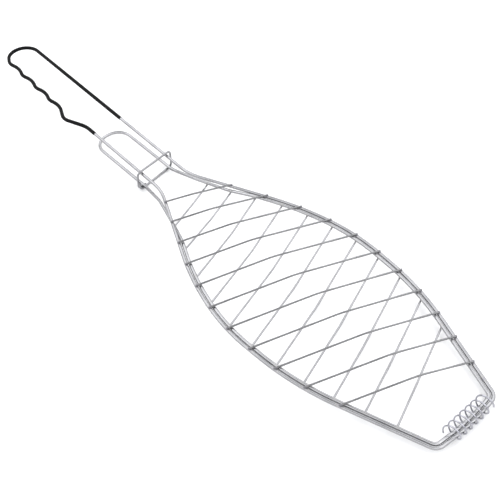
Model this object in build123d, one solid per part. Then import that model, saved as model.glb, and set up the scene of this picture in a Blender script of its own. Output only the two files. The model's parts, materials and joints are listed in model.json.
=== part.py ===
from build123d import *
import os
from math import atan2, degrees, pi, sin

# Wire grill basket for a whole fish: two hinged wire halves, a coil hinge at the
# tail end, a long handle with a dipped coating and a lock ring that slides on it.
# Basket frame: X runs from the tail hinge to the handle's end, Y across, Z up, and
# Z = 0 is the plane through the middle of the upper half's frame wire. The last
# step sets the basket down on its coil and lock ring and moves the origin to the
# middle of its footprint.

# Wire sizes
frame_wire = 3.0
cross_wire = 1.6
coil_wire = 1.3
ring_wire = 2.0
coating = 0.35
coating_grip = 0.05      # how far the dipped coating keys into the wire's surface
weld_sink = 0.15         # how far a cross wire is pressed into the frame wire

# Upper half: one closed wire, a fish-shaped outline that runs on into the handle
tail_apex = 0.5
tail_bow_half = 8.4      # the tail bar bends a little here, on each side of the middle
tail_corner = (2.6, 32.8)
belly_front = (108.0, 70.5)
belly_crown = (183.0, 75.0)
belly_back = (238.0, 62.0)
neck = (335.5, 15.7)
tail_radius = 128.0
tail_corner_radius = 9.0
belly_radii = (250.0, 185.0, 265.0)
neck_radius = 50.0

# Long handle
handle_end = 602.2
handle_flat_half = 16.6
handle_corner_radius = 15.8
grip_corner_half = 9.0    # the end slants from here into the last finger crest
grip_corner_radius = 15.5
guard_start = (452.0, 15.5)
guard_start_radius = 27.0
guard_peak = (476.0, 25.5)
guard_peak_radius = 13.0
finger_first = 496.5     # first finger recess, counted from the guard
finger_pitch = 25.6
finger_count = 4
finger_swing = 2.1       # half the height of the finger wave's corner points
finger_mean = 18.0       # the wave's middle line at the first recess
finger_taper = 0.030     # the grip narrows a little towards its end
recess_radius = 25.0
crest_radius = 13.0
coating_start = 436.8
coating_start_plain = 439.0   # on the leg without finger recesses

# Lower half: nests inside the upper outline, then steps down to its own short handle
nest_gap = 3.4
nest_drop = 0.3
step_start = 276.0
step_shoulder = (298.0, 32.0, -4.7)
step_knee = (332.0, 21.0, -7.4)
step_end = 362.0
step_radii = (50.0, 60.0, 50.0, 50.0)
short_handle_drop = 12.8
short_handle_half = 16.2
short_handle_end = 441.0
short_handle_lean = 1.0  # the short handle leans this far sideways at its end
short_handle_flat = 0.4  # straight stretch left between its two end bends

# Cross wires
wire_count = 11
wire_first = 49.7
wire_pitch = 26.1
wire_slope = 0.345       # travel along X for each unit across, at the belly
wire_splay = 0.05        # the end wires lie a little more slanted than the middle ones
wire_overhang = 1.0      # past the middle of the frame wire
ridge_bend = 70.0
top_ridge = 5.6
top_ridge_end = 330.0
top_ridge_taper = 110.0
bottom_ridge = 6.5
bottom_ridge_start = 10.0
bottom_ridge_length = 320.0

# Coil hinge, wound along Y round both tail bars
coil_radius = 6.8
coil_pitch = 6.2
coil_turns = 6.6
coil_start = -40.0       # angle at which the +Y end of the wire starts, from +X towards +Z
coil_centre = (4.1, -2.5, 2.2)

# Lock ring
ring_at = 366.0
ring_half = 20.9
ring_corner = 4.0
ring_clearance = 0.3
ring_yaw = 8.0
ring_lap = 9.0
ring_lap_gap = 0.1

frame_radius = frame_wire / 2
cross_radius = cross_wire / 2
weld_height = frame_radius + cross_radius - weld_sink


def round_rod(path, diameter):
    """A round wire swept along a path."""
    section = Plane(origin=path @ 0, z_dir=path % 0) * Circle(diameter / 2)
    return sweep(section, path=path)


def mirrored(points):
    """The same points on the other side of the X axis, in reverse order."""
    return [(x, -y) for x, y in reversed(points)]


def offset_corners(points, gap):
    """Corner points of the parallel outline, moved by gap to the right of the path."""
    moved = []
    for before, here, after in zip(points, points[1:], points[2:]):
        along_in = (Vector(*here) - Vector(*before)).normalized()
        along_out = (Vector(*after) - Vector(*here)).normalized()
        right_in = Vector(along_in.Y, -along_in.X)
        right_out = Vector(along_out.Y, -along_out.X)
        shift = (right_in + right_out) * (gap / (1 + right_in.dot(right_out)))
        moved.append((here[0] + shift.X, here[1] + shift.Y))
    return moved


def finger_wave():
    """Corner points and radii of the guard and finger recesses on one handle leg."""
    points = [guard_start, guard_peak]
    radii = [guard_start_radius, guard_peak_radius]
    for step in range(2 * finger_count):
        x = finger_first + step * finger_pitch / 2
        middle = finger_mean - finger_taper * (x - finger_first)
        if step % 2 == 0:
            points.append((x, middle - finger_swing))
            radii.append(recess_radius)
        else:
            points.append((x, middle + finger_swing))
            radii.append(crest_radius)
    return points, radii


def handle_corners():
    """Corner points and radii from the guard round the handle's end."""
    points, radii = finger_wave()
    points += [(handle_end, grip_corner_half), (handle_end, -handle_flat_half)]
    radii += [grip_corner_radius, handle_corner_radius]
    return points, radii


def basket_side():
    """One side of the upper outline, from the tail bar to the neck."""
    bow_end = (tail_apex, tail_bow_half)
    points = [bow_end, tail_corner, belly_front, belly_crown, belly_back, neck]
    radii = [tail_radius, tail_corner_radius, *belly_radii, neck_radius]
    return points, radii


def top_outline():
    side, side_radii = basket_side()
    grip, grip_radii = handle_corners()
    points = [*side, *grip, *mirrored(side)]
    radii = [*side_radii, *grip_radii, *reversed(side_radii)]
    return FilletPolyline(*points, radius=radii, close=True)


def nested_side(gap):
    """One side of a parallel outline, moved inwards by gap, up to the back of the belly."""
    side, radii = basket_side()
    points = offset_corners([(tail_apex, 0), *side], gap)
    return points, [radii[0] - gap, *(radius - gap for radius in radii[1:-1])]


def half_at_step(belly_corner):
    """Half width of the nested outline where the lower frame starts to step down."""
    slope = (neck[1] - belly_back[1]) / (neck[0] - belly_back[0])
    return belly_corner[1] + slope * (step_start - belly_corner[0])


def bottom_frame_z(x):
    """Height of the lower frame's middle line at x, as far as the knee of its step."""
    corners = [(step_start, -nest_drop), (step_shoulder[0], step_shoulder[2])]
    corners.append((step_knee[0], step_knee[2]))
    height = -nest_drop
    for (x_before, z_before), (x_after, z_after) in zip(corners, corners[1:]):
        share = min(max((x - x_before) / (x_after - x_before), 0), 1)
        height += share * (z_after - z_before)
    return height


def bottom_side(across):
    """Half of the lower frame: across is 1 for the +Y half and -1 for the other half."""
    nested, nested_radii = nested_side(nest_gap)
    level = [(tail_apex + nest_gap, 0), *nested, (step_start, half_at_step(nested[-1]))]
    lean = short_handle_lean * across
    points = [
        *((x, y, -nest_drop) for x, y in level),
        step_shoulder,
        step_knee,
        (step_end, short_handle_half, -short_handle_drop),
        (short_handle_end, short_handle_half + lean, -short_handle_drop),
        (short_handle_end, lean, -short_handle_drop),
    ]
    radii = [*nested_radii, *step_radii, short_handle_half - short_handle_flat + min(lean, 0)]
    sided = [(x, across * y, z) for x, y, z in points]
    return FilletPolyline(*sided, radius=radii)


def basket_face(direction):
    """The plan inside one half's frame: direction is 1 for the upper half, -1 for the lower."""
    if direction > 0:
        side, radii = nested_side(0)
        side.append(neck)
        radii.append(0)
    else:
        side, radii = nested_side(nest_gap)
        side += [(step_start, half_at_step(side[-1])), step_shoulder[:2], step_knee[:2]]
        radii += [*step_radii[:2], 0]
    corners = [*side, *mirrored(side)]
    outline = FilletPolyline(*corners, radius=[*radii, *reversed(radii)], close=True)
    return make_face(outline.edges())


def plan_span(outline, x_middle, slope):
    """Both ends of a straight line across an outline, on the outline's middle line."""
    reach = 1.5 * belly_crown[1]
    line = Edge.make_line((x_middle - slope * reach, -reach), (x_middle + slope * reach, reach))
    span = (outline & line).edges()[0]
    return sorted([span @ 0, span @ 1], key=lambda point: point.Y)


def bent_wire(low, high, x_middle, rise):
    """A cross wire: straight from each weld to one bend over the middle line."""
    along = (high - low).normalized()
    ridge = (x_middle, 0, (low.Z + high.Z) / 2 + rise)
    ends = [low - along * wire_overhang, high + along * wire_overhang]
    path = FilletPolyline(ends[0], ridge, ends[1], radius=ridge_bend)
    return round_rod(path, cross_wire)


def cross_wires(direction):
    """The cross wires of one half: direction is 1 for the upper half, -1 for the lower."""
    outline = basket_face(direction)
    wires = []
    for number in range(wire_count):
        x_middle = wire_first + number * wire_pitch
        from_middle = 2 * number / (wire_count - 1) - 1
        slope = wire_slope + wire_splay * from_middle**2
        low, high = plan_span(outline, x_middle, direction * slope)
        if direction > 0:
            low.Z = high.Z = weld_height
            rise = top_ridge * min(1, (top_ridge_end - x_middle) / top_ridge_taper)
        else:
            low.Z = bottom_frame_z(low.X) - weld_height
            high.Z = bottom_frame_z(high.X) - weld_height
            rise = -bottom_ridge * sin(pi * (x_middle - bottom_ridge_start) / bottom_ridge_length)
        wires.append(bent_wire(low, high, x_middle, rise))
    return wires


def handle_coating():
    """The dipped coating over the grip and the loop at the handle's end."""
    points, radii = handle_corners()
    half = guard_start[1]
    widen = (handle_flat_half - neck[1]) / (handle_end - neck[0])
    plain_half = neck[1] + widen * (coating_start_plain - neck[0])
    points = [(coating_start, half), *points, (coating_start_plain, -plain_half)]
    path = FilletPolyline(*points, radius=radii)
    outer = Circle(frame_radius + coating)
    sleeve = outer - Circle(frame_radius - coating_grip)
    section = Plane(origin=path @ 0, z_dir=path % 0) * sleeve
    return sweep(section, path=path)


def hinge_coil():
    """A wire coil wound round both tail bars."""
    length = coil_pitch * coil_turns
    path = Helix(pitch=coil_pitch, height=length, radius=coil_radius)
    section = Plane(origin=path @ 0, z_dir=path % 0) * Circle(coil_wire / 2)
    coil = sweep(section, path=path, is_frenet=True)
    return Pos(*coil_centre) * Rot(90, 0, 0) * Rot(0, 0, coil_start) * Pos(0, 0, -length / 2) * coil


def lock_ring():
    """A bent wire ring round both handles, its two ends lapped side by side."""
    top = frame_radius + coating + ring_clearance + ring_wire / 2
    bottom = -short_handle_drop - frame_radius - ring_clearance - ring_wire / 2
    lap = (ring_wire + ring_lap_gap) / 2
    points = [
        (-lap, ring_half, bottom + ring_lap),
        (-lap, ring_half, bottom),
        (-lap / 3, -ring_half, bottom),
        (0, -ring_half, top),
        (lap / 2, ring_half, top),
        (lap, ring_half, bottom),
        (lap, ring_half - ring_lap, bottom),
    ]
    path = FilletPolyline(*points, radius=ring_corner)
    return Pos(ring_at, 0, 0) * Rot(0, 0, ring_yaw) * round_rod(path, ring_wire)


def resting_place(shapes):
    """Sets the basket down on its coil and lock ring, centred over the origin."""
    coil_low = coil_centre[2] - coil_radius - coil_wire / 2
    ring_low = -short_handle_drop - frame_radius - ring_clearance - ring_wire
    tilt = atan2(coil_low - ring_low, ring_at - coil_centre[0])
    turn = Rot(0, -degrees(tilt), 0)
    box = Compound([turn * shape for shape in shapes]).bounding_box()
    return Pos(-box.center().X, -box.center().Y, -box.min.Z) * turn


def bottom_frame():
    """The lower half's frame wire, with its tail bar and short handle."""
    return round_rod(bottom_side(1), frame_wire) + round_rod(bottom_side(-1), frame_wire)


def basket():
    """Every sub-part by name, in the basket frame."""
    parts = {
        "top_frame": round_rod(top_outline(), frame_wire),
        "handle_coating": handle_coating(),
        "bottom_frame": bottom_frame(),
        "hinge_coil": hinge_coil(),
        "lock_ring": lock_ring(),
    }
    for number, wire in enumerate(cross_wires(1), start=1):
        parts[f"top_cross_wire_{number:02d}"] = wire
    for number, wire in enumerate(cross_wires(-1), start=1):
        parts[f"bottom_cross_wire_{number:02d}"] = wire
    return parts


os.makedirs("parts", exist_ok=True)
sub_parts = basket()
place = resting_place(sub_parts.values())
for name, sub_part in sub_parts.items():
    export_step(place * sub_part, f"parts/{name}.step")
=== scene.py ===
"""Looks of the wire grill basket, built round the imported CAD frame.

Every wire is rebuilt as a fine swept mesh on the same centre line as its CAD node, with its
welds, cut ends and dipped coating. Lengths here are in millimetres in the basket's own frame
(X from the tail hinge to the handle's end, Z = 0 in the plane of the upper frame wire) until
to_row() sets them down in the row frame, in metres.
"""

import json

import bmesh
import bpy
import numpy as np
from mathutils import Matrix, Vector


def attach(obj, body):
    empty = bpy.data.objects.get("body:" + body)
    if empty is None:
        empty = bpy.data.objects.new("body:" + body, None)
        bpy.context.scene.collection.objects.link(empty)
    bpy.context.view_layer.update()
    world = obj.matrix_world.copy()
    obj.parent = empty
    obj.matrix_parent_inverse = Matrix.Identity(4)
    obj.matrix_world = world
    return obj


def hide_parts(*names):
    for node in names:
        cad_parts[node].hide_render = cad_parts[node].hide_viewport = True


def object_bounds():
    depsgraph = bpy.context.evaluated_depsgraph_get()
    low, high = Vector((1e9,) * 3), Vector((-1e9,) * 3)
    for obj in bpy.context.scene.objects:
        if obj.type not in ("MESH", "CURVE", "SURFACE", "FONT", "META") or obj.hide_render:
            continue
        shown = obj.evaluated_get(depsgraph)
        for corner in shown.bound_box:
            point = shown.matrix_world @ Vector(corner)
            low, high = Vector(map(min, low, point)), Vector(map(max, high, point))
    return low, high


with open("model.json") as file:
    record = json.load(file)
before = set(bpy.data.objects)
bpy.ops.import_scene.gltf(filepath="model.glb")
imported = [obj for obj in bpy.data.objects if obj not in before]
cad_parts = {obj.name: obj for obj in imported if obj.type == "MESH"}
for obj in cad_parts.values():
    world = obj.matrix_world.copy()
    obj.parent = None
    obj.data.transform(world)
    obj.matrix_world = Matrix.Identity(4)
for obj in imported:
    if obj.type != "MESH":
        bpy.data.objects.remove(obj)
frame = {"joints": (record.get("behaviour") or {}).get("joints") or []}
cad_low, cad_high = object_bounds()
joints = {joint["name"]: joint for joint in frame["joints"]}
random = np.random.default_rng(7)

# Wire sizes, and how far a cross wire is melted into the frame wire at a weld
frame_radius = 1.5
cross_radius = 0.8
coil_wire_radius = 0.65
ring_wire_radius = 1.0
coating_radius = 1.85
weld_sink = 0.15
weld_height = frame_radius + cross_radius - weld_sink

# Upper frame's outline, from the tail bar to the neck
tail_apex = 0.5
tail_bow_half = 8.4
basket_corners = [(2.6, 32.8), (108.0, 70.5), (183.0, 75.0), (238.0, 62.0)]
neck = (335.5, 15.7)
tail_radius = 128.0
side_radii = [9.0, 250.0, 185.0, 265.0]
neck_radius = 50.0

# Long handle
handle_end = 602.2
handle_flat_half = 16.6
handle_corner_radius = 15.8
grip_corner_half = 9.0
grip_corner_radius = 15.5
guard = [(452.0, 15.5), (476.0, 25.5)]
guard_radii = [27.0, 13.0]
finger_first = 496.5
finger_pitch = 25.6
finger_count = 4
finger_swing = 2.1
finger_mean = 18.0
finger_taper = 0.030
finger_radii = (25.0, 13.0)
coating_start = 436.8
coating_start_plain = 439.0

# Lower frame: nested inside the upper one, with a short handle below
nest_gap = 3.4
nest_drop = 0.3
step_start = 276.0
step_shoulder = (298.0, 32.0, -4.7)
step_knee = (332.0, 21.0, -7.4)
step_end = 362.0
step_radii = [50.0, 60.0, 50.0, 50.0]
short_handle_drop = 12.8
short_handle_half = 16.2
short_handle_end = 441.0
short_handle_lean = 1.0
short_handle_flat = 0.4

# Cross wires: their places and slant, and how far they bow out at the middle
wire_count = 11
wire_first = 49.7
wire_pitch = 26.1
wire_slope = 0.345
wire_splay = 0.05
wire_overhang = 1.0
ridge_bend = 70.0
top_ridge = 5.6
top_ridge_end = 330.0
top_ridge_taper = 110.0
bottom_ridge = 6.5
bottom_ridge_start = 10.0
bottom_ridge_length = 320.0

# Coil hinge and lock ring
coil_radius = 6.8
coil_pitch = 6.2
coil_turns = 6.6
coil_points_a_turn = 48
coil_start = np.radians(-40.0)
coil_centre = np.array([4.1, -2.5, 2.2])
ring_at = 366.0
ring_half = 20.9
ring_corner = 4.0
ring_clearance = 0.3
ring_yaw = np.radians(8.0)
ring_lap = 9.0
ring_lap_gap = 0.1

# What the CAD leaves out. Cross wires: uneven ends, and a flat that the electrode left at each weld
overhang_shares = (0.86, 1.0)
end_chamfer = 0.18
chamfer_share = 0.8
flat_reach = 1.5
flat_height = 0.56
flat_rise = 0.24

# The frame wires' butt welds, and their unevenness as shares of the radius
top_seam_near = (18, -38, 0)
bottom_seam_near = (18, 34, 0)
seam_bead = 0.07
seam_reach = 0.9
frame_share = 0.994
frame_unevenness = 0.005
frame_waves = (7.3, 31.0)

# The coating's thin edges and its unevenness, also as shares of the radius
coating_share = 0.985
coating_thinning = 0.14
coating_edge = 1.6
coating_unevenness = (0.008, 0.006)
coating_waves = (9.7, 4.1)
coating_wave_shift = 2

# Weld nuggets: length, width and height, how much they vary, and the lobes round their rim
nugget_size = np.array([1.25, 1.02, 0.42])
nugget_shares = (0.92, 1.08)
nugget_lobes = [(3, 0.07), (5, 0.04)]
nugget_rows = 7
nugget_sides = 14
nugget_mark = 0.8

# How far the heat of a weld has reached along each kind of wire
frame_heat = 2.6
cross_heat = 1.9
ring_heat = 3.0

# How finely wires are divided: the turn of one step in an arc, the length of a step, and the sides
arc_step = np.radians(6)
line_step = 2.5
cross_step = 2.0
coating_step = 1.2
ring_step = 1.0
frame_sides = 24
cross_sides = 16
coating_sides = 28
coil_sides = 16
ring_sides = 20

# The surround's brightness by the height of a direction, from level (0) to straight up (1): grey
# walls, a bright band of soft light, and an unlit ceiling
surround_strength = 2.3
surround_tint = (0.98, 0.985, 1.0)
surround_levels = [(0.0, 0.24), (0.35, 0.45), (0.62, 1.0), (0.86, 1.0), (0.96, 0.16), (1.0, 0.12)]

# Soft boxes, each with its place and size in metres and its power in watts
soft_boxes = {
    "key_box": ((-0.7, -0.5, 1.5), (1.2, 1.2), 3),
    "fill_box": ((0.9, 0.9, 1.2), (1.2, 0.9), 2),
}

# The camera, in the basket's frame
camera_azimuth = np.radians(-131.87)
camera_elevation = np.radians(48.33)
camera_roll = np.radians(-0.13)
camera_distance = 745.2
camera_target = np.array([229.5, 4.8, 0.0])
camera_lens = 64.0
camera_sensor = 36.0

# The nearest thing that the camera sees, and the floor's side, in metres
camera_nearest = 0.01
floor_size = 80

# The basket's frame in the row frame: the hinge gives the place and the ring's slide the tilt
upper_hinge = np.array([0.5, 0.0, 0.0])
metres = 0.001
along_x = np.array(joints["ring_slide"]["axis"], float)
along_x /= np.linalg.norm(along_x)
turn_to_row = np.column_stack([along_x, (0, 1, 0), np.cross(along_x, (0, 1, 0))])
shift_to_row = np.array(joints["top_swing"]["pos_m"]) - turn_to_row @ upper_hinge * metres


def to_row(points):
    """Points in millimetres in the basket's frame, set down in the row frame in metres."""
    return np.asarray(points) @ turn_to_row.T * metres + shift_to_row


# ---------------------------------------------------------------- centre lines


def mirrored(points):
    """Plan points on the other side of the basket, in the opposite order."""
    return [(x, -y) for x, y in reversed(points)]


def flat(points, height=0.0):
    """Plan points at one height."""
    return [(x, y, height) for x, y in points]


def rounded(points, radii, closed=False, step=line_step):
    """Points along a line whose corners are arcs of the given radii, about one step apart."""
    points = np.array(points, float)
    count = len(points)
    inner = range(count) if closed else range(1, count - 1)
    line = [] if closed else [points[0]]
    for corner, radius in zip(inner, radii):
        here = points[corner]
        back = points[corner - 1] - here
        on = points[(corner + 1) % count] - here
        back /= np.linalg.norm(back)
        on /= np.linalg.norm(on)
        turn = np.pi - np.arccos(np.clip(back @ on, -1, 1))
        if radius == 0:
            line.append(here)
            continue
        middle = (back + on) / np.linalg.norm(back + on)
        centre = here + middle * radius / np.cos(turn / 2)
        reach = radius * np.tan(turn / 2)
        first = here + back * reach - centre
        last = here + on * reach - centre
        pieces = max(2, int(np.ceil(max(turn / arc_step, radius * turn / step))))
        for share in np.linspace(0, 1, pieces + 1):
            angle = share * turn
            swung = np.sin(turn - angle) * first + np.sin(angle) * last
            line.append(centre + swung / np.sin(turn))
    if not closed:
        line.append(points[-1])
    return spaced(line, closed, step)


def spaced(line, closed, step):
    """The same line with its long straight stretches divided."""
    out = []
    ends = line[1:] + line[:1] if closed else line[1:]
    for start, end in zip(line, ends):
        pieces = max(1, int(np.linalg.norm(end - start) / step))
        out += [start + (end - start) * k / pieces for k in range(pieces)]
    if not closed:
        out.append(line[-1])
    return np.array(out)


def side_corners():
    """Corners and radii of the upper frame's +Y side, from the tail bar to the neck."""
    corners = [(tail_apex, tail_bow_half), *basket_corners, neck]
    return corners, [tail_radius, *side_radii, neck_radius]


def grip_corners():
    """The guard, the finger recesses and the round end of the long handle."""
    points = list(guard)
    radii = list(guard_radii)
    for step in range(2 * finger_count):
        x = finger_first + step * finger_pitch / 2
        middle = finger_mean - finger_taper * (x - finger_first)
        points.append((x, middle + finger_swing * (-1, 1)[step % 2]))
        radii.append(finger_radii[step % 2])
    points += [(handle_end, grip_corner_half), (handle_end, -handle_flat_half)]
    return points, [*radii, grip_corner_radius, handle_corner_radius]


def top_frame_line():
    """The upper frame's closed line, with the long handle."""
    side, radii = side_corners()
    grip, grip_radii = grip_corners()
    corners = [*side, *grip, *mirrored(side)]
    return rounded(flat(corners), [*radii, *grip_radii, *reversed(radii)], closed=True)


def coating_line():
    """The grip's centre line between the coating's two ends."""
    grip, radii = grip_corners()
    widen = (handle_flat_half - neck[1]) / (handle_end - neck[0])
    plain_half = neck[1] + widen * (coating_start_plain - neck[0])
    corners = [(coating_start, guard[0][1]), *grip, (coating_start_plain, -plain_half)]
    return rounded(flat(corners), radii, step=coating_step)


def nested_corners(gap):
    """Corners of the outline moved inwards by gap, from the tail to the back of the belly."""
    side, radii = side_corners()
    path = np.array([(tail_apex, 0), *side])
    along = np.diff(path, axis=0)
    along /= np.linalg.norm(along, axis=1)[:, None]
    right = np.column_stack([along[:, 1], -along[:, 0]])
    moved = []
    for here, right_in, right_out in zip(path[1:], right, right[1:]):
        moved.append(tuple(here + (right_in + right_out) * gap / (1 + right_in @ right_out)))
    return moved, [radii[0] - gap, *(radius - gap for radius in radii[1:-1])]


def half_at_step(belly_corner):
    """Half width of the nested outline where the lower frame starts to step down."""
    back_x, back_y = basket_corners[-1]
    slope = (neck[1] - back_y) / (neck[0] - back_x)
    return belly_corner[1] + slope * (step_start - belly_corner[0])


def bottom_frame_z(x):
    """Height of the lower frame's middle line at x, as far as the knee of its step."""
    places = [step_start, step_shoulder[0], step_knee[0]]
    return np.interp(x, places, [-nest_drop, step_shoulder[2], step_knee[2]])


def bottom_frame_line():
    """The lower frame's closed line, with the step at the neck and the short handle."""
    nested, nested_radii = nested_corners(nest_gap)
    level = [*nested, (step_start, half_at_step(nested[-1]))]
    halves = []
    for across in (1, -1):
        lean = short_handle_lean * across
        corners = [
            (tail_apex + nest_gap, 0, -nest_drop),
            *flat(level, -nest_drop),
            step_shoulder,
            step_knee,
            (step_end, short_handle_half, -short_handle_drop),
            (short_handle_end, short_handle_half + lean, -short_handle_drop),
            (short_handle_end, lean, -short_handle_drop),
        ]
        end_radius = short_handle_half - short_handle_flat + min(lean, 0)
        sided = [(x, across * y, z) for x, y, z in corners]
        halves.append(rounded(sided, [*nested_radii, *step_radii, end_radius]))
    return np.vstack([halves[0], halves[1][-2:0:-1]])


def face_line(direction):
    """The plan outline where one half's cross wires end."""
    if direction > 0:
        corners, radii = nested_corners(0)
        corners.append(neck)
    else:
        corners, radii = nested_corners(nest_gap)
        corners += [(step_start, half_at_step(corners[-1])), step_shoulder[:2], step_knee[:2]]
        radii += step_radii[:2]
    corners = [*corners, *mirrored(corners)]
    return rounded(flat(corners), [*radii, 0, 0, *reversed(radii)], closed=True)


def crossings(outline, x_middle, slope):
    """Where the straight line x = x_middle + slope * y meets the outline, at low and high Y."""
    offset = outline[:, 0] - x_middle - slope * outline[:, 1]
    found = []
    for index in range(len(outline)):
        after = (index + 1) % len(outline)
        if offset[index] * offset[after] < 0:
            share = offset[index] / (offset[index] - offset[after])
            found.append(outline[index] + share * (outline[after] - outline[index]))
    return min(found, key=lambda point: point[1]), max(found, key=lambda point: point[1])


def cross_wire_lines(direction):
    """Each cross wire's centre line and its two welds: direction 1 is the upper half, -1 the lower."""
    outline = face_line(direction)
    for number in range(wire_count):
        x_middle = wire_first + number * wire_pitch
        from_middle = 2 * number / (wire_count - 1) - 1
        slope = direction * (wire_slope + wire_splay * from_middle**2)
        low, high = crossings(outline, x_middle, slope)
        if direction > 0:
            low[2] = high[2] = weld_height
            rise = top_ridge * min(1, (top_ridge_end - x_middle) / top_ridge_taper)
        else:
            low[2] = bottom_frame_z(low[0]) - weld_height
            high[2] = bottom_frame_z(high[0]) - weld_height
            rise = -bottom_ridge * np.sin(np.pi * (x_middle - bottom_ridge_start) / bottom_ridge_length)
        along = (high - low) / np.linalg.norm(high - low)
        overhang = wire_overhang * random.uniform(*overhang_shares, 2)
        ends = [low - along * overhang[0], high + along * overhang[1]]
        ridge = np.array([x_middle, 0, (low[2] + high[2]) / 2 + rise])
        yield rounded([ends[0], ridge, ends[1]], [ridge_bend], step=cross_step), [low, high]


def coil_line():
    """The helix round both tail bars, along Y."""
    turns = np.linspace(0, coil_turns, int(coil_turns * coil_points_a_turn))
    angle = 2 * np.pi * turns + coil_start
    across = (coil_turns / 2 - turns) * coil_pitch
    circle = np.column_stack([coil_radius * np.cos(angle), across, coil_radius * np.sin(angle)])
    return circle + coil_centre


def ring_line():
    """The lock ring's open line, its two ends lapped at the lower +Y corner."""
    top = coating_radius + ring_clearance + ring_wire_radius
    bottom = -short_handle_drop - frame_radius - ring_clearance - ring_wire_radius
    lap = ring_wire_radius + ring_lap_gap / 2
    corners = [
        (-lap, ring_half, bottom + ring_lap),
        (-lap, ring_half, bottom),
        (-lap / 3, -ring_half, bottom),
        (0, -ring_half, top),
        (lap / 2, ring_half, top),
        (lap, ring_half, bottom),
        (lap, ring_half - ring_lap, bottom),
    ]
    line = rounded(corners, [ring_corner] * (len(corners) - 2), step=ring_step)
    turn = np.array([
        [np.cos(ring_yaw), -np.sin(ring_yaw), 0],
        [np.sin(ring_yaw), np.cos(ring_yaw), 0],
        [0, 0, 1],
    ])
    return line @ turn.T + (ring_at, 0, 0)


# ---------------------------------------------------------------- meshes


def swept(line, radii, sides, closed=False):
    """A round tube's rings round a line, as an array of ring, side and coordinate."""
    before = np.roll(line, 1, axis=0)
    after = np.roll(line, -1, axis=0)
    if not closed:
        before[0] = line[0]
        after[-1] = line[-1]
    tangents = after - before
    tangents /= np.linalg.norm(tangents, axis=1)[:, None]
    across = np.cross(tangents[0], (0, 0, 1))
    starts_upright = np.linalg.norm(across) < 0.1
    if starts_upright:
        across = np.cross(tangents[0], (1, 0, 0))
    rings = []
    angles = np.linspace(0, 2 * np.pi, sides, endpoint=False)
    for point, tangent, radius in zip(line, tangents, radii):
        across = across - tangent * (across @ tangent)
        across /= np.linalg.norm(across)
        upward = np.cross(across, tangent)
        circle = np.outer(np.cos(angles), across) + np.outer(np.sin(angles), upward)
        rings.append(point + radius * circle)
    return np.array(rings)


def distance_along(line):
    """Each point's distance from the line's first point, along the line."""
    return np.concatenate([[0], np.cumsum(np.linalg.norm(np.diff(line, axis=0), axis=1))])


def mesh_object(name, points, faces, attributes):
    """A smooth mesh piece in the row frame, with its point attributes."""
    mesh = bpy.data.meshes.new(name)
    mesh.from_pydata(to_row(points).tolist(), [], faces)
    mesh.validate()
    for key, values in attributes.items():
        kind = "FLOAT" if np.ndim(values) == 1 else "FLOAT_VECTOR"
        field = "value" if kind == "FLOAT" else "vector"
        attribute = mesh.attributes.new(key, kind, "POINT")
        attribute.data.foreach_set(field, np.asarray(values, np.float32).ravel())
    mesh.shade_smooth()
    piece = bpy.data.objects.new(name, mesh)
    bpy.context.scene.collection.objects.link(piece)
    return piece


def quads(start, after, sides):
    """The faces between two rings of points, given the number of each ring's first point."""
    return [
        (start + side, start + (side + 1) % sides, after + (side + 1) % sides, after + side)
        for side in range(sides)
    ]


def wire_piece(name, line, radius, sides, closed=False, welds=(), heat=None, profile=None):
    """A drawn wire: a tube with chamfered cut ends, and a heat mark round each weld.

    heat is the marks' reach, and profile gives the radius's share at each distance along the wire.
    The "unrolled" attribute is where each point would lie if the wire were pulled straight.
    """
    along = distance_along(line)
    radii = np.full(len(line), float(radius))
    if profile is not None:
        radii *= profile(along)
    if not closed:
        line, along, radii = with_cut_ends(line, along, radii)
    rings = swept(line, radii, sides, closed)
    count = len(line)
    faces = []
    for ring in range(count if closed else count - 1):
        faces += quads(ring * sides, (ring + 1) % count * sides, sides)
    if not closed:
        faces.append(tuple(reversed(range(sides))))
        faces.append(tuple(range((count - 1) * sides, count * sides)))
    points = rings.reshape(-1, 3)
    angles = np.linspace(0, 2 * np.pi, sides, endpoint=False)
    unrolled = np.column_stack([
        np.tile(np.cos(angles), count) * radius,
        np.tile(np.sin(angles), count) * radius,
        np.repeat(along, sides),
    ])
    mark = np.zeros(len(points))
    for weld in welds:
        mark = np.maximum(mark, np.exp(-(np.linalg.norm(points - weld, axis=1) / heat) ** 2))
    return mesh_object(name, points, faces, {"unrolled": unrolled, "weld_mark": mark})


def with_cut_ends(line, along, radii):
    """Adds a narrower last ring at both ends, as cropped wire has."""
    first = line[0] + (line[1] - line[0]) / np.linalg.norm(line[1] - line[0]) * end_chamfer
    last = line[-1] + (line[-2] - line[-1]) / np.linalg.norm(line[-2] - line[-1]) * end_chamfer
    line = np.vstack([line[0], first, line[1:-1], last, line[-1]])
    near_last = along[-1] - end_chamfer
    along = np.concatenate([[0, end_chamfer], along[1:-1], [near_last, along[-1]]])
    narrow = [radii[0] - end_chamfer * chamfer_share]
    radii = np.concatenate([narrow, [radii[0]], radii[1:-1], [radii[-1]], narrow])
    return line, along, radii


def press_flat(piece, weld, direction):
    """Flattens a cross wire's outer side where the welding electrode pressed on it."""
    spot = Vector(to_row(weld))
    outward = Vector(turn_to_row[:, 2]) * direction
    for vertex in piece.data.vertices:
        offset = vertex.co - spot
        height = offset.dot(outward)
        aside = (offset - outward * height).length / metres
        limit = (flat_height + flat_rise * min(1, (aside / flat_reach) ** 2)) * metres
        if aside < flat_reach and height > limit:
            vertex.co -= outward * (height - limit)


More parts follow.
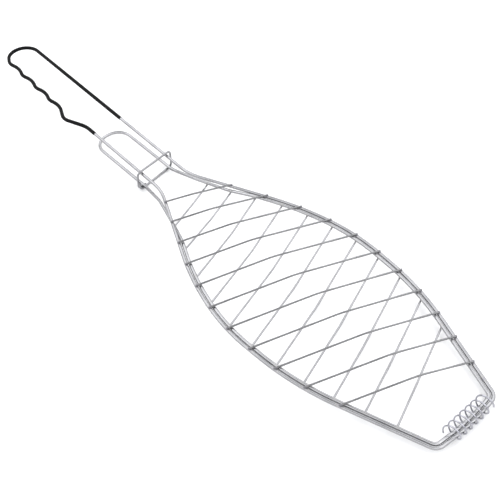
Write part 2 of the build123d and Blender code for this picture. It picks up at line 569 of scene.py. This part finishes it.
def nugget(centre, direction):
    """One lens of squeezed-out metal with its long axis along direction, as rows of points."""
    heading = np.arctan2(direction[1], direction[0])
    length, width, height = nugget_size * random.uniform(*nugget_shares, 3)
    phases = random.uniform(0, 2 * np.pi, 2)
    points = []
    for tilt in np.pi * np.arange(nugget_rows + 1) / nugget_rows:
        for turn in 2 * np.pi * np.arange(nugget_sides) / nugget_sides:
            lump = 1
            for (lobes, depth), phase in zip(nugget_lobes, phases):
                lump += depth * np.sin(lobes * turn + phase)
            x = length * lump * np.sin(tilt) * np.cos(turn)
            y = width * lump * np.sin(tilt) * np.sin(turn)
            spun_x = x * np.cos(heading) - y * np.sin(heading)
            spun_y = x * np.sin(heading) + y * np.cos(heading)
            points.append(centre + (spun_x, spun_y, height * np.cos(tilt)))
    return points


def weld_nuggets(name, welds):
    """A small uneven lens at each spot weld, given as pairs of its place and its wire's direction."""
    points = []
    faces = []
    for centre, direction in welds:
        for row in range(nugget_rows):
            start = len(points) + row * nugget_sides
            inward = quads(start, start + nugget_sides, nugget_sides)
            faces += [(first, *others[::-1]) for first, *others in inward]
        points += nugget(centre, direction)
    points = np.array(points)
    mark = np.full(len(points), nugget_mark)
    piece = mesh_object(name, points, faces, {"unrolled": points, "weld_mark": mark})
    merge_poles(piece)
    return piece


def merge_poles(piece):
    """Joins the points that lie on each other at the top and bottom of each lens."""
    mesh = bmesh.new()
    mesh.from_mesh(piece.data)
    bmesh.ops.remove_doubles(mesh, verts=mesh.verts, dist=1e-7)
    mesh.to_mesh(piece.data)
    mesh.free()
    piece.data.shade_smooth()


# ---------------------------------------------------------------- materials

# The colour of burnt-on specks and dust, and the tone of drawing lines as a share of the dull tone
dirt_tone = (0.12, 0.115, 0.11, 1)
streak_share = 0.72

# Heat tints by the strength of a weld's mark: bare plating, straw, blue, and grey at the weld itself
heat_tints = [
    (0.10, (1.0, 1.0, 1.0)),
    (0.35, (0.98, 0.94, 0.87)),
    (0.55, (0.88, 0.87, 0.92)),
    (0.85, (0.78, 0.77, 0.77)),
]


class Nodes:
    """A material's node tree, with short calls to add to it."""

    def __init__(self, name):
        self.material = bpy.data.materials.new(name)
        self.material.use_nodes = True
        self.tree = self.material.node_tree
        self.shader = self.tree.nodes["Principled BSDF"]

    def add(self, kind, inputs=None, **settings):
        """A new node with the given settings, its inputs linked or set."""
        node = self.tree.nodes.new(kind)
        for key, value in settings.items():
            setattr(node, key, value)
        for key, value in (inputs or {}).items():
            self.put(node.inputs[key], value)
        return node

    def put(self, socket, value):
        """Links a socket to another node's output, or sets its value."""
        if isinstance(value, bpy.types.NodeSocket):
            self.tree.links.new(value, socket)
        else:
            socket.default_value = value

    def unrolled(self, across, along):
        """Noise coordinates: pulled-straight wire, scaled across and along it, per millimetre."""
        place = self.add("ShaderNodeAttribute", attribute_name="unrolled")
        inputs = {"Vector": place.outputs["Vector"], "Scale": (across, across, along)}
        return self.add("ShaderNodeMapping", inputs).outputs["Vector"]

    def noise(self, vector, scale, detail=4.0, roughness=0.55):
        """Noise from 0 to 1 at the given coordinates."""
        inputs = {"Vector": vector, "Scale": scale, "Detail": detail, "Roughness": roughness}
        return self.add("ShaderNodeTexNoise", inputs).outputs["Fac"]

    def spread(self, value, low, high, to_low=0.0, to_high=1.0):
        """Maps the range low..high of a value to another range."""
        inputs = {
            "Value": value,
            "From Min": low,
            "From Max": high,
            "To Min": to_low,
            "To Max": to_high,
        }
        return self.add("ShaderNodeMapRange", inputs).outputs["Result"]

    def ramp(self, value, stops):
        """A colour ramp given as pairs of place and colour."""
        node = self.add("ShaderNodeValToRGB", {"Fac": value})
        marks = node.color_ramp.elements
        marks[0].position, marks[0].color = stops[0][0], (*stops[0][1], 1)
        marks[1].position, marks[1].color = stops[-1][0], (*stops[-1][1], 1)
        for place, colour in stops[1:-1]:
            mark = marks.new(place)
            mark.color = (*colour, 1)
        return node.outputs["Color"]

    def mix(self, share, first, second):
        """Two colours mixed. The Mix node has number and vector sockets too, so these are picked."""
        node = self.add("ShaderNodeMix", {"Factor": share}, data_type="RGBA")
        colour_inputs = [socket for socket in node.inputs if socket.type == "RGBA"]
        colour_output = next(socket for socket in node.outputs if socket.type == "RGBA")
        self.put(colour_inputs[0], first)
        self.put(colour_inputs[1], second)
        return colour_output

    def sum(self, *values):
        """All the given values added up."""
        total = values[0]
        for value in values[1:]:
            total = self.add("ShaderNodeMath", {0: total, 1: value}, operation="ADD").outputs[0]
        return total

    def times(self, value, factor):
        """Two values multiplied."""
        return self.add("ShaderNodeMath", {0: value, 1: factor}, operation="MULTIPLY").outputs[0]

    def bump(self, height, depth, strength, under=None):
        """A bump of the given depth in metres, over another one if given."""
        inputs = {"Height": height, "Distance": depth, "Strength": strength}
        if under is not None:
            inputs["Normal"] = under
        return self.add("ShaderNodeBump", inputs).outputs["Normal"]


def plated_wire(name, bright, dull, shine):
    """Bright plated steel wire: drawing lines, cloudy dulling, specks, and heat marks at welds."""
    nodes = Nodes(name)
    streaks = nodes.noise(nodes.unrolled(4.0, 0.06), 1.0, 5.0, 0.6)
    clouds = nodes.noise(nodes.unrolled(0.10, 0.05), 1.0, 3.0)
    smudges = nodes.noise(nodes.unrolled(0.5, 0.16), 1.0, 4.0, 0.65)
    specks = nodes.noise(nodes.unrolled(7.0, 5.0), 1.0, 2.0)
    speck_share = nodes.spread(specks, 0.68, 0.76)
    mark = nodes.add("ShaderNodeAttribute", attribute_name="weld_mark").outputs["Fac"]
    ragged_mark = nodes.sum(mark, nodes.spread(smudges, 0.3, 0.7, -0.12, 0.12))

    tone = nodes.mix(nodes.spread(clouds, 0.35, 0.65), (*bright, 1), (*dull, 1))
    streaked = [streak_share * level for level in dull]
    tone = nodes.mix(nodes.spread(streaks, 0.45, 0.75, 0.0, 0.35), tone, (*streaked, 1))
    tone = nodes.mix(nodes.times(speck_share, 0.5), tone, dirt_tone)
    heated = [
        (place, tuple(share * level for share, level in zip(tint, bright)))
        for place, tint in heat_tints
    ]
    heat = nodes.ramp(ragged_mark, heated)
    tone = nodes.mix(nodes.spread(ragged_mark, 0.08, 0.7, 0.0, 0.9), tone, heat)
    nodes.put(nodes.shader.inputs["Base Color"], tone)

    rough = nodes.sum(
        nodes.spread(smudges, 0.3, 0.75, shine, shine + 0.16),
        nodes.spread(streaks, 0.3, 0.8, 0.0, 0.07),
        nodes.spread(ragged_mark, 0.1, 0.9, 0.0, 0.2),
        nodes.times(speck_share, 0.25),
    )
    nodes.put(nodes.shader.inputs["Roughness"], rough)
    nodes.shader.inputs["Metallic"].default_value = 1.0
    lines = nodes.bump(streaks, 0.00002, 0.5)
    pits = nodes.bump(nodes.times(speck_share, -1.0), 0.00004, 0.6, lines)
    scale = nodes.bump(nodes.times(smudges, mark), 0.0001, 0.6, pits)
    nodes.put(nodes.shader.inputs["Normal"], scale)
    return nodes.material


def dipped_coating(name):
    """Black dipped plastisol: soft orange peel, faint mottling, rubbed spots and a few dust specks."""
    nodes = Nodes(name)
    peel = nodes.noise(nodes.unrolled(0.9, 0.7), 1.0, 3.0, 0.5)
    waves = nodes.noise(nodes.unrolled(0.12, 0.09), 1.0, 2.0)
    rub = nodes.noise(nodes.unrolled(0.35, 0.10), 1.0, 5.0, 0.65)
    grit = nodes.noise(nodes.unrolled(6.0, 6.0), 1.0, 2.0)
    dust = nodes.spread(grit, 0.71, 0.77)
    darker = (0.002, 0.002, 0.0023, 1)
    lighter = (0.005, 0.005, 0.0055, 1)
    rubbed = (0.018, 0.018, 0.019, 1)
    tone = nodes.mix(nodes.spread(waves, 0.35, 0.65), darker, lighter)
    tone = nodes.mix(nodes.spread(rub, 0.52, 0.78, 0.0, 0.6), tone, rubbed)
    tone = nodes.mix(nodes.times(dust, 0.3), tone, dirt_tone)
    nodes.put(nodes.shader.inputs["Base Color"], tone)
    rough = nodes.sum(
        nodes.spread(rub, 0.3, 0.75, 0.36, 0.56),
        nodes.spread(peel, 0.3, 0.7, -0.03, 0.05),
        nodes.times(dust, 0.3),
    )
    nodes.put(nodes.shader.inputs["Roughness"], rough)
    nodes.shader.inputs["IOR"].default_value = 1.49
    nodes.shader.inputs["Specular IOR Level"].default_value = 0.08
    skin = nodes.bump(peel, 0.00008, 0.35)
    sag = nodes.bump(waves, 0.0004, 0.4, skin)
    nodes.put(nodes.shader.inputs["Normal"], sag)
    return nodes.material


def pale_floor(name):
    """A plain pale floor with a barely visible unevenness."""
    nodes = Nodes(name)
    place = nodes.add("ShaderNodeTexCoord").outputs["Object"]
    clouds = nodes.noise(place, 3.0, 3.0)
    darker = (0.88, 0.88, 0.88, 1)
    lighter = (0.90, 0.90, 0.90, 1)
    tone = nodes.mix(nodes.spread(clouds, 0.3, 0.7), darker, lighter)
    nodes.put(nodes.shader.inputs["Base Color"], tone)
    nodes.shader.inputs["Roughness"].default_value = 0.9
    return nodes.material


# ---------------------------------------------------------------- the basket's pieces


def fit_out(piece, body, nodes, material):
    """Puts a piece on its body in place of its CAD nodes, with its material."""
    piece.data.materials.append(material)
    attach(piece, body)
    if nodes:
        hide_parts(*nodes)


def frame_wire(name, node, body, line, welds, seam_near, material):
    """A half's frame wire, with the butt weld that closes it and its spot-weld marks."""
    nearest = np.argmin(np.linalg.norm(line - seam_near, axis=1))
    seam_at = distance_along(line)[nearest]
    marks = [*welds, line[nearest]]

    def profile(distance):
        """Slightly uneven, with a low bead at the butt weld."""
        bead = seam_bead * np.exp(-(((distance - seam_at) / seam_reach) ** 2))
        short, long = (np.sin(distance / length) for length in frame_waves)
        return frame_share + bead + frame_unevenness * short * long

    piece = wire_piece(
        name,
        line,
        frame_radius,
        frame_sides,
        closed=True,
        welds=marks,
        heat=frame_heat,
        profile=profile,
    )
    fit_out(piece, body, [node], material)


def cross_wire_set(half, body, direction, material):
    """One half's cross wires and their weld nuggets. Returns where they touch the frame wire."""
    contacts = []
    nuggets = []
    for number, (line, ends) in enumerate(cross_wire_lines(direction), start=1):
        name = f"{half}_mesh_wire_{number:02d}"
        piece = wire_piece(name, line, cross_radius, cross_sides, welds=ends, heat=cross_heat)
        for weld in ends:
            press_flat(piece, weld, direction)
        fit_out(piece, body, [f"{half}_cross_wire_{number:02d}"], material)
        heading = ends[1] - ends[0]
        for weld in ends:
            contact = weld - (0, 0, direction * (cross_radius - weld_sink / 2))
            nuggets.append((contact, heading))
            contacts.append(contact)
    piece = weld_nuggets(f"{half}_weld_nuggets", nuggets)
    fit_out(piece, body, [], material)
    return contacts


# Each plated wire's brighter tone, duller tone, and roughness where it is smoothest
top_wire_finish = plated_wire("plated_frame_wire", (0.38, 0.38, 0.39), (0.30, 0.30, 0.31), 0.13)
bottom_wire_finish = plated_wire("plated_lower_frame_wire", (0.41, 0.41, 0.42), (0.33, 0.33, 0.34), 0.15)
# The upper mesh wires are the same plating as the lower mesh wires; their darker tones are painted
# shade, standing in for the dark ceiling that they reflect
top_mesh_finish_painted_shade = plated_wire("upper_mesh_wire_painted_shade", (0.23, 0.23, 0.235), (0.16, 0.16, 0.165), 0.15)
bottom_mesh_finish = plated_wire("plated_lower_mesh_wire", (0.38, 0.38, 0.39), (0.30, 0.30, 0.31), 0.15)
coil_finish = plated_wire("plated_coil_wire", (0.47, 0.47, 0.51), (0.38, 0.38, 0.42), 0.13)
ring_finish = plated_wire("plated_ring_wire", (0.31, 0.31, 0.32), (0.24, 0.24, 0.25), 0.12)

top_welds = cross_wire_set("top", "top_half", 1, top_mesh_finish_painted_shade)
bottom_welds = cross_wire_set("bottom", "bottom_half", -1, bottom_mesh_finish)
frame_wire(
    "top_frame_rod",
    "top_frame",
    "top_half",
    top_frame_line(),
    top_welds,
    top_seam_near,
    top_wire_finish,
)
frame_wire(
    "bottom_frame_rod",
    "bottom_frame",
    "bottom_half",
    bottom_frame_line(),
    bottom_welds,
    bottom_seam_near,
    bottom_wire_finish,
)


def coating_profile(distance):
    """Thin at both dipped edges, and never quite even in between."""
    edge = np.minimum(distance, distance[-1] - distance)
    thin = coating_thinning * np.exp(-((edge / coating_edge) ** 2))
    slow = coating_unevenness[0] * np.sin(distance / coating_waves[0])
    quick = coating_unevenness[1] * np.sin(distance / coating_waves[1] + coating_wave_shift)
    return coating_share + slow + quick - thin


coating = wire_piece(
    "grip_coating", coating_line(), coating_radius, coating_sides, profile=coating_profile
)
fit_out(coating, "top_half", ["handle_coating"], dipped_coating("dipped_coating"))

coil = wire_piece("coil_spring", coil_line(), coil_wire_radius, coil_sides)
fit_out(coil, "hinge_coil", ["hinge_coil"], coil_finish)

ring_path = ring_line()
ring_ends = [ring_path[0], ring_path[-1]]
ring = wire_piece(
    "sliding_ring", ring_path, ring_wire_radius, ring_sides, welds=ring_ends, heat=ring_heat
)
fit_out(ring, "lock_ring", ["lock_ring"], ring_finish)


# ---------------------------------------------------------------- stage, lights and camera


def floor():
    """A large plain floor under the basket."""
    bpy.ops.mesh.primitive_plane_add(size=floor_size, location=(0, 0, cad_low.z))
    plane = bpy.context.object
    plane.name = "floor"
    plane.data.materials.append(pale_floor("pale_floor"))


def soft_light(name, place, size, power):
    """A soft box that faces the basket."""
    data = bpy.data.lights.new(name, "AREA")
    data.shape = "RECTANGLE"
    data.size, data.size_y = size
    data.energy = power
    light = bpy.data.objects.new(name, data)
    light.location = place
    light.rotation_euler = (-Vector(place)).to_track_quat("-Z", "Y").to_euler()
    bpy.context.scene.collection.objects.link(light)


def studio():
    """A surround with a bright band part of the way up, and two soft boxes."""
    world = bpy.data.worlds.new("studio")
    world.use_nodes = True
    tree = world.node_tree
    direction = tree.nodes.new("ShaderNodeTexCoord")
    split = tree.nodes.new("ShaderNodeSeparateXYZ")
    levels = tree.nodes.new("ShaderNodeValToRGB")
    marks = levels.color_ramp.elements
    # New marks may start anywhere, as all their places are set next
    while len(marks) < len(surround_levels):
        marks.new(0.5)
    for mark, (height, level) in zip(marks, surround_levels):
        mark.position = height
        mark.color = (*[share * level for share in surround_tint], 1)
    surround = tree.nodes["Background"]
    surround.inputs["Strength"].default_value = surround_strength
    tree.links.new(direction.outputs["Generated"], split.inputs["Vector"])
    tree.links.new(split.outputs["Z"], levels.inputs["Fac"])
    tree.links.new(levels.outputs["Color"], surround.inputs["Color"])
    bpy.context.scene.world = world
    for name, (place, size, power) in soft_boxes.items():
        soft_light(name, place, size, power)


def camera():
    """The camera at the photographed viewing angle, given in the basket's frame."""
    back = np.array([
        np.sin(camera_azimuth) * np.cos(camera_elevation),
        -np.cos(camera_azimuth) * np.cos(camera_elevation),
        np.sin(camera_elevation),
    ])
    right = np.array([np.cos(camera_azimuth), np.sin(camera_azimuth), 0.0])
    up = np.cross(back, right)
    rolled_right = right * np.cos(camera_roll) + up * np.sin(camera_roll)
    rolled_up = up * np.cos(camera_roll) - right * np.sin(camera_roll)
    axes = turn_to_row @ np.column_stack([rolled_right, rolled_up, back])
    data = bpy.data.cameras.new("camera")
    data.sensor_width = camera_sensor
    data.lens = camera_lens
    data.clip_start = camera_nearest
    eye = bpy.data.objects.new("camera", data)
    place = to_row(camera_target + back * camera_distance)
    eye.matrix_world = Matrix.Translation(Vector(place)) @ Matrix(axes.tolist()).to_4x4()
    bpy.context.scene.collection.objects.link(eye)
    bpy.context.scene.camera = eye


floor()
studio()
camera()
bpy.context.scene.view_settings.view_transform = "Standard"
